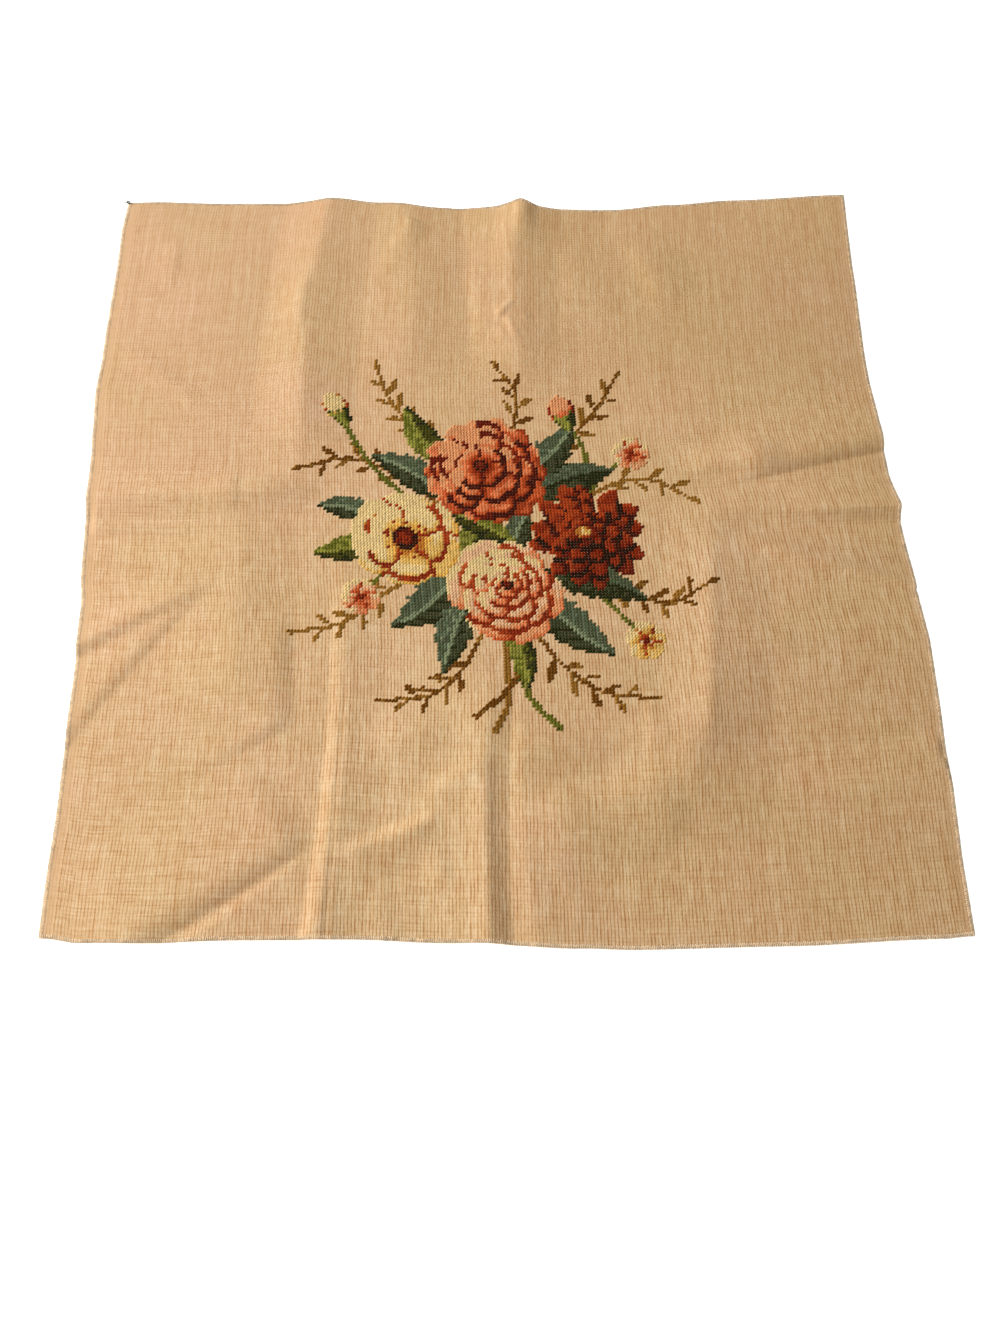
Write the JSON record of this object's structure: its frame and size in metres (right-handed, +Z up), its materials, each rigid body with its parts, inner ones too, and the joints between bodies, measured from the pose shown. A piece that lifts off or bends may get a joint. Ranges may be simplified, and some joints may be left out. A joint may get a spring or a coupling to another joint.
{
  "type": "needlepoint canvas panel",
  "caption": "Square double-thread canvas for needlepoint, lying flat with soft storage folds, its middle worked with a wool bouquet and the ground left bare.",
  "frame": {"origin": "under the middle of the panel, on the surface it lies on", "axes": "+X across the panel to the right, +Y from its near edge to its far edge, +Z up through its thickness"},
  "size_m": [0.6686, 0.6616, 0.0093],
  "materials": {
    "canvas": "sized double-thread cotton canvas, tan, open square weave",
    "wool": "twisted tapestry wool in gold, rust, maroon, rose, teal and moss shades",
    "edging": "cotton overcasting thread, straw colour"
  },
  "bodies": {
    "root": {"canvas": "canvas"}
  },
  "joints": []
}
